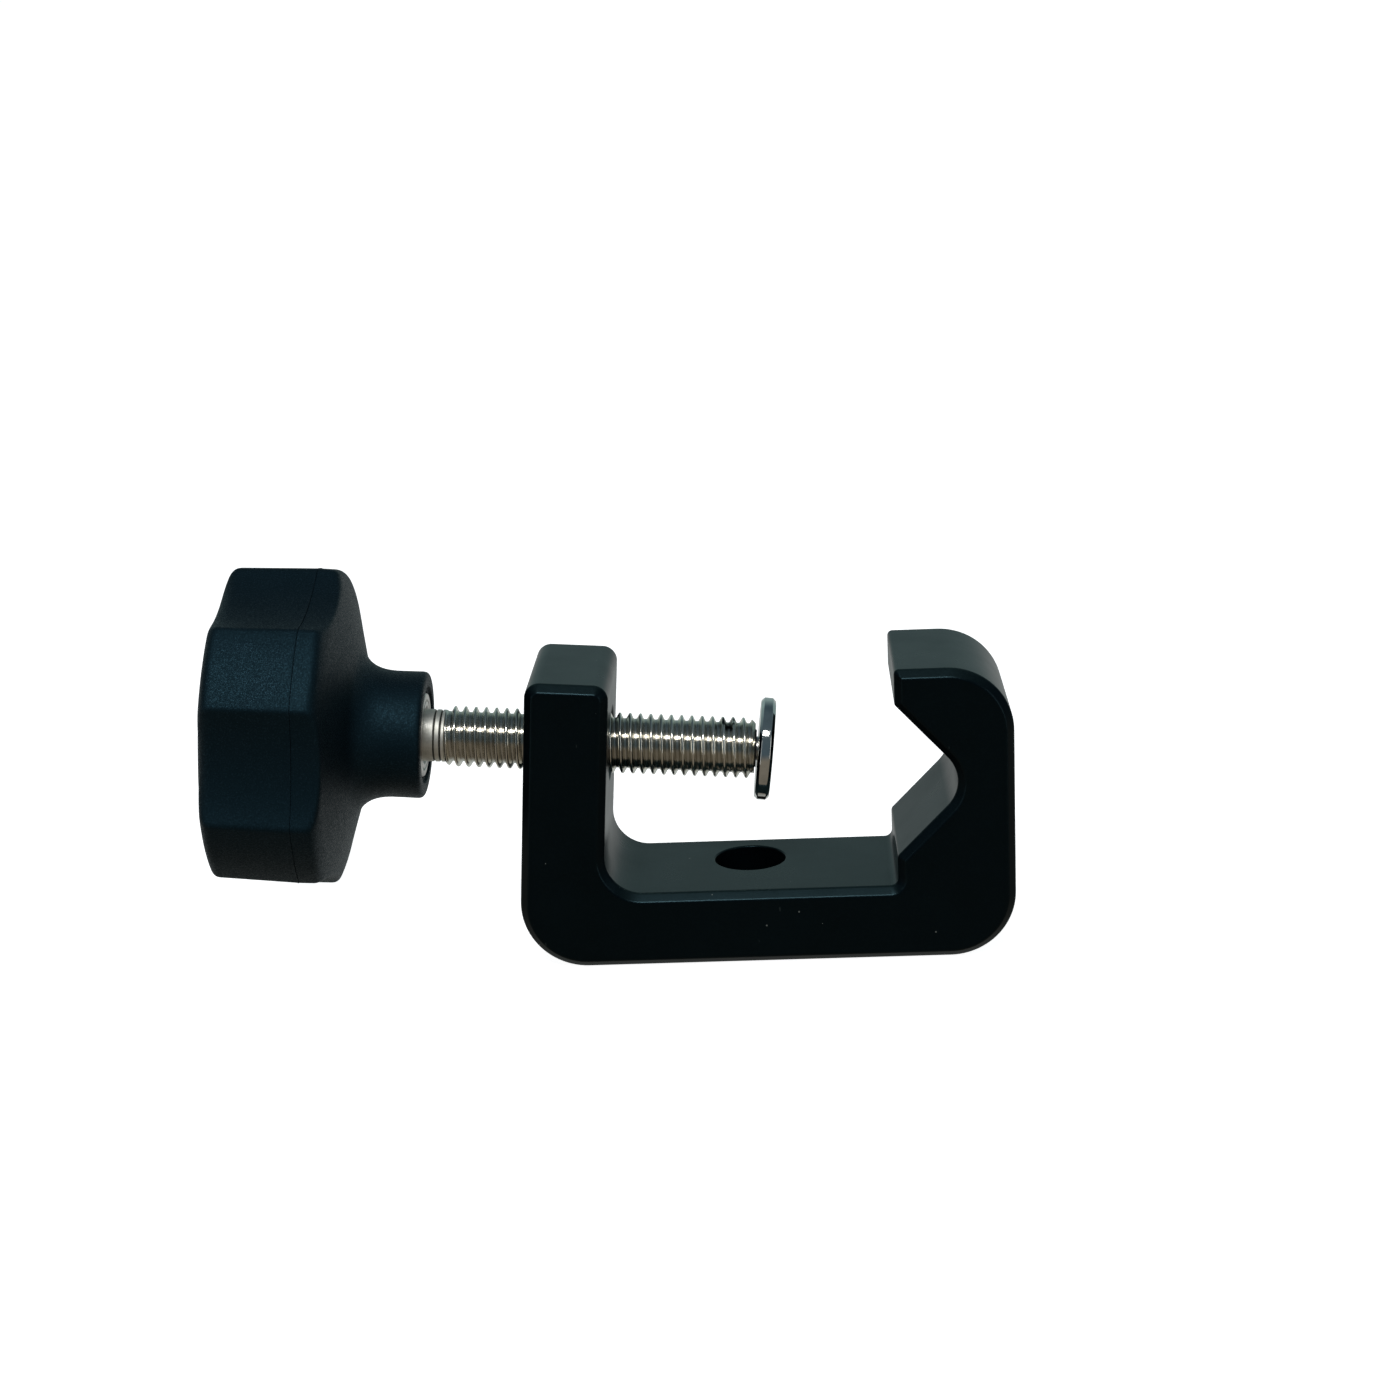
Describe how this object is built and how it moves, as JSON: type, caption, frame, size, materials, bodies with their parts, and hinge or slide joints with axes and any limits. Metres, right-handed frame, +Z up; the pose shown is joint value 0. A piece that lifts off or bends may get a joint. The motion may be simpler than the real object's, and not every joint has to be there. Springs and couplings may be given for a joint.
{
  "type": "pipe clamp",
  "caption": "Pipe clamp with a black C-shaped frame, a V jaw, and a threaded hand screw that presses a round swivelling pad against the pipe.",
  "frame": {"origin": "axis of the mounting hole at the frame's bottom face", "axes": "+X from the knob towards the V jaw, +Y towards the back, +Z up out of the base, opposite to the mounting hole's open end"},
  "size_m": [0.1228, 0.0487, 0.0609],
  "materials": {
    "anodised_black": "satin black anodised",
    "spindle_steel": "bright rolled thread",
    "knob_plastic": "fine-grained moulded",
    "bush_metal": "turned, nickel plated",
    "pad_chrome": "polished",
    "washer_plastic": "plain",
    "pad_screw_steel": "plain"
  },
  "bodies": {
    "frame": {"clamp_frame": "anodised_black"},
    "pad": {"pressure_pad": "pad_chrome"},
    "screw": {"spindle": "spindle_steel", "knob_body": "knob_plastic", "knob_bush": "bush_metal", "pad_washer": "washer_plastic", "pad_screw": "pad_screw_steel"}
  },
  "joints": [
    {"name": "screw_travel", "type": "slide", "parent": "frame", "child": "pad", "axis": [0.9971, 0, -0.0767], "range_m": [-0.0223, 0.0155]},
    {"name": "screw_turn", "type": "hinge", "parent": "pad", "child": "screw", "pos_m": [0.00414, -0.003, 0.03033], "axis": [0.9971, 0, -0.0767], "range_deg": [-5040, 3492]}
  ],
  "couplings": [
    {"joint": "screw_travel", "follows": "screw_turn", "m_per_rad": 0.00025266}
  ]
}
